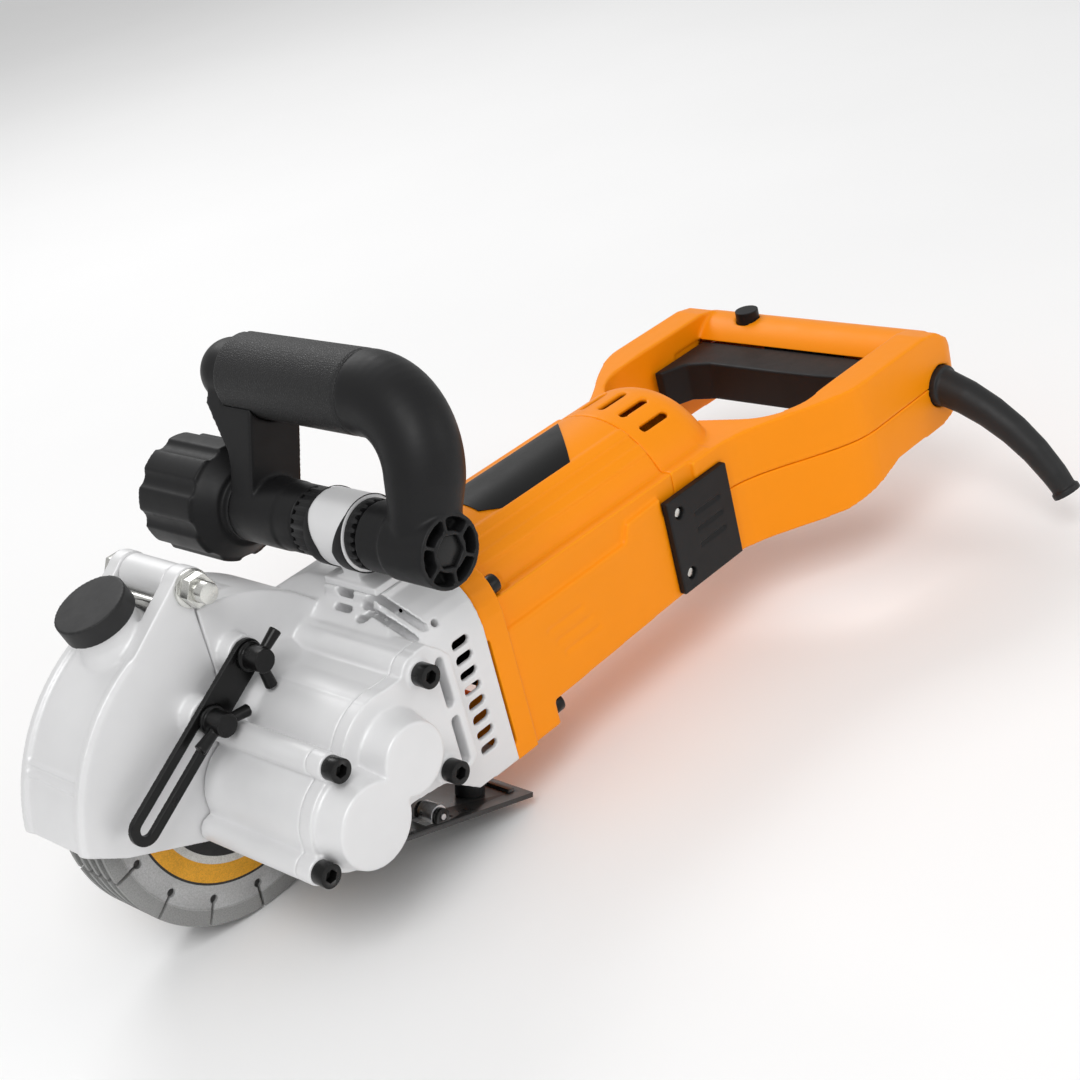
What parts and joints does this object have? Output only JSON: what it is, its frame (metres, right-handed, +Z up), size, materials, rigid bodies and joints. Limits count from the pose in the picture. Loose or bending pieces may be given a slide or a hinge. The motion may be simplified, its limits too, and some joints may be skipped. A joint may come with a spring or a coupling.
{
  "type": "wall chaser",
  "caption": "Electric wall chaser: spaced diamond discs under a swinging guard and base plate, driven through gears by a motor, with a bail handle in front and a D handle behind.",
  "frame": {"origin": "middle of the bounding box seen from above, at the lowest point of the discs", "axes": "+X from the discs back along the motor axis to the rear grip, +Y from the gearbox cover towards the handle knob, +Z up, square to the motor axis"},
  "size_m": [0.551, 0.2795, 0.2468],
  "materials": {
    "cast_aluminium": "fine-blasted casting",
    "machined_steel": "turned and ground",
    "disc_steel": "grey printed face with sintered rim",
    "black_steel": "black coated sheet",
    "zinc_steel": "bright zinc",
    "yellow_plastic": "moulded, fine satin",
    "dark_plastic": "moulded, fine grain",
    "soft_rubber": "soft, leather grain",
    "laminated_iron": "stacked sheets",
    "copper_wire": "enamelled wire",
    "carbon": "pressed carbon"
  },
  "bodies": {
    "power_unit": {"arbor_bearings": "machined_steel", "countershaft_bearings": "machined_steel", "armature_bearings": "machined_steel", "trigger_pin": "machined_steel", "stator_core": "laminated_iron", "stator_coils": "copper_wire", "brush_holders": "copper_wire", "air_baffle": "dark_plastic", "side_covers": "dark_plastic", "switch_block": "dark_plastic", "cord_clamp": "dark_plastic", "clamp_rings": "dark_plastic", "carbon_brushes": "carbon", "gearbox_case": "cast_aluminium", "gearbox_cover": "cast_aluminium", "handle_bracket": "cast_aluminium", "cover_screws": "black_steel", "housing_screws": "black_steel", "side_cover_screws": "zinc_steel", "motor_housing": "yellow_plastic", "rear_shell_upper": "yellow_plastic", "rear_shell_lower": "yellow_plastic", "cable_boot": "soft_rubber", "depth_stop": "soft_rubber"},
    "spindle": {"cutting_discs": "disc_steel", "disc_spacers": "machined_steel", "inner_flange": "machined_steel", "outer_flange": "machined_steel", "disc_screw": "machined_steel", "arbor_shaft": "machined_steel", "arbor_gear": "machined_steel"},
    "layshaft": {"countershaft": "machined_steel", "bevel_gear": "machined_steel", "spur_pinion": "machined_steel"},
    "armature": {"armature_shaft": "machined_steel", "armature_core": "laminated_iron", "armature_windings": "copper_wire", "commutator": "copper_wire", "cooling_fan": "dark_plastic", "bevel_pinion": "machined_steel"},
    "guard_assembly": {"guard": "cast_aluminium", "base_plate": "black_steel", "plate_screws": "zinc_steel", "pivot_bolt": "black_steel", "pivot_nut": "zinc_steel", "tie_rod": "zinc_steel", "roller_pins": "machined_steel"},
    "rear_guide_roller": {"rear_roller": "machined_steel"},
    "front_guide_roller": {"front_roller": "machined_steel"},
    "port_cap": {"dust_cap": "soft_rubber"},
    "setting_lever": {"depth_lever": "black_steel"},
    "upper_wing_screw": {"lever_screw": "black_steel"},
    "lower_wing_screw": {"slot_screw": "black_steel"},
    "front_handle": {"bail_handle": "dark_plastic", "grip_sleeve": "soft_rubber", "bail_bolt": "machined_steel"},
    "handle_knob": {"clamp_knob": "dark_plastic"},
    "switch_trigger": {"trigger": "dark_plastic"},
    "lock_on_button": {"lock_button": "dark_plastic"}
  },
  "joints": [
    {"name": "spindle_spin", "type": "hinge", "parent": "power_unit", "child": "spindle", "pos_m": [-0.1869, 0.0478, 0.075], "axis": [0, 1, 0], "continuous": true},
    {"name": "layshaft_spin", "type": "hinge", "parent": "power_unit", "child": "layshaft", "pos_m": [-0.1579, 0.0478, 0.091], "axis": [0, 1, 0], "continuous": true},
    {"name": "armature_spin", "type": "hinge", "parent": "power_unit", "child": "armature", "pos_m": [-0.0369, 0.0278, 0.091], "axis": [1, 0, 0], "continuous": true},
    {"name": "guard_swing", "type": "hinge", "parent": "power_unit", "child": "guard_assembly", "pos_m": [-0.1829, 0.0578, 0.173], "axis": [0, 1, 0], "range_deg": [0, 45]},
    {"name": "rear_roller_spin", "type": "hinge", "parent": "guard_assembly", "child": "rear_guide_roller", "pos_m": [-0.12835, -0.0132, 0.0299], "axis": [0, 1, 0], "continuous": true},
    {"name": "front_roller_spin", "type": "hinge", "parent": "guard_assembly", "child": "front_guide_roller", "pos_m": [-0.16809, -0.0132, 0.04351], "axis": [0, 1, 0], "continuous": true},
    {"name": "cap_pull", "type": "slide", "parent": "guard_assembly", "child": "port_cap", "axis": [-0.294, 0, 0.9558], "range_m": [0, 0.06]},
    {"name": "lever_swing", "type": "hinge", "parent": "power_unit", "child": "setting_lever", "pos_m": [-0.1731, 0.0253, 0.1347], "axis": [0, 1, 0], "range_deg": [0, 43]},
    {"name": "screw_in_slot", "type": "slide", "parent": "setting_lever", "child": "lower_wing_screw", "axis": [-0.8628, 0, -0.5056], "range_m": [0, 0.0305]},
    {"name": "upper_wing_turn", "type": "hinge", "parent": "power_unit", "child": "upper_wing_screw", "pos_m": [-0.1731, 0.0198, 0.1347], "axis": [0, 1, 0], "range_deg": [-60, 60]},
    {"name": "handle_tilt", "type": "hinge", "parent": "power_unit", "child": "front_handle", "pos_m": [-0.1062, 0.0478, 0.1663], "axis": [0, 1, 0], "range_deg": [-40, 40]},
    {"name": "knob_turn", "type": "hinge", "parent": "front_handle", "child": "handle_knob", "pos_m": [-0.1062, 0.1128, 0.1663], "axis": [0, 1, 0], "range_deg": [-180, 180]},
    {"name": "trigger_pull", "type": "hinge", "parent": "power_unit", "child": "switch_trigger", "pos_m": [0.2291, -0.0462, 0.089], "axis": [0, 0, -1], "range_deg": [0, 3.5], "stiffness_Nm_per_rad": 4, "springref_deg": -3.44},
    {"name": "lock_press", "type": "slide", "parent": "power_unit", "child": "lock_on_button", "axis": [0, 0, -1], "range_m": [0, 0.003], "stiffness_N_per_m": 400, "springref_m": -0.001}
  ],
  "couplings": [
    {"joint": "layshaft_spin", "follows": "spindle_spin", "ratio": -1.3158},
    {"joint": "armature_spin", "follows": "spindle_spin", "ratio": -3.7081},
    {"joint": "lever_swing", "follows": "guard_swing", "ratio": 0.95},
    {"joint": "screw_in_slot", "follows": "guard_swing", "m_per_rad": 0.0385}
  ]
}
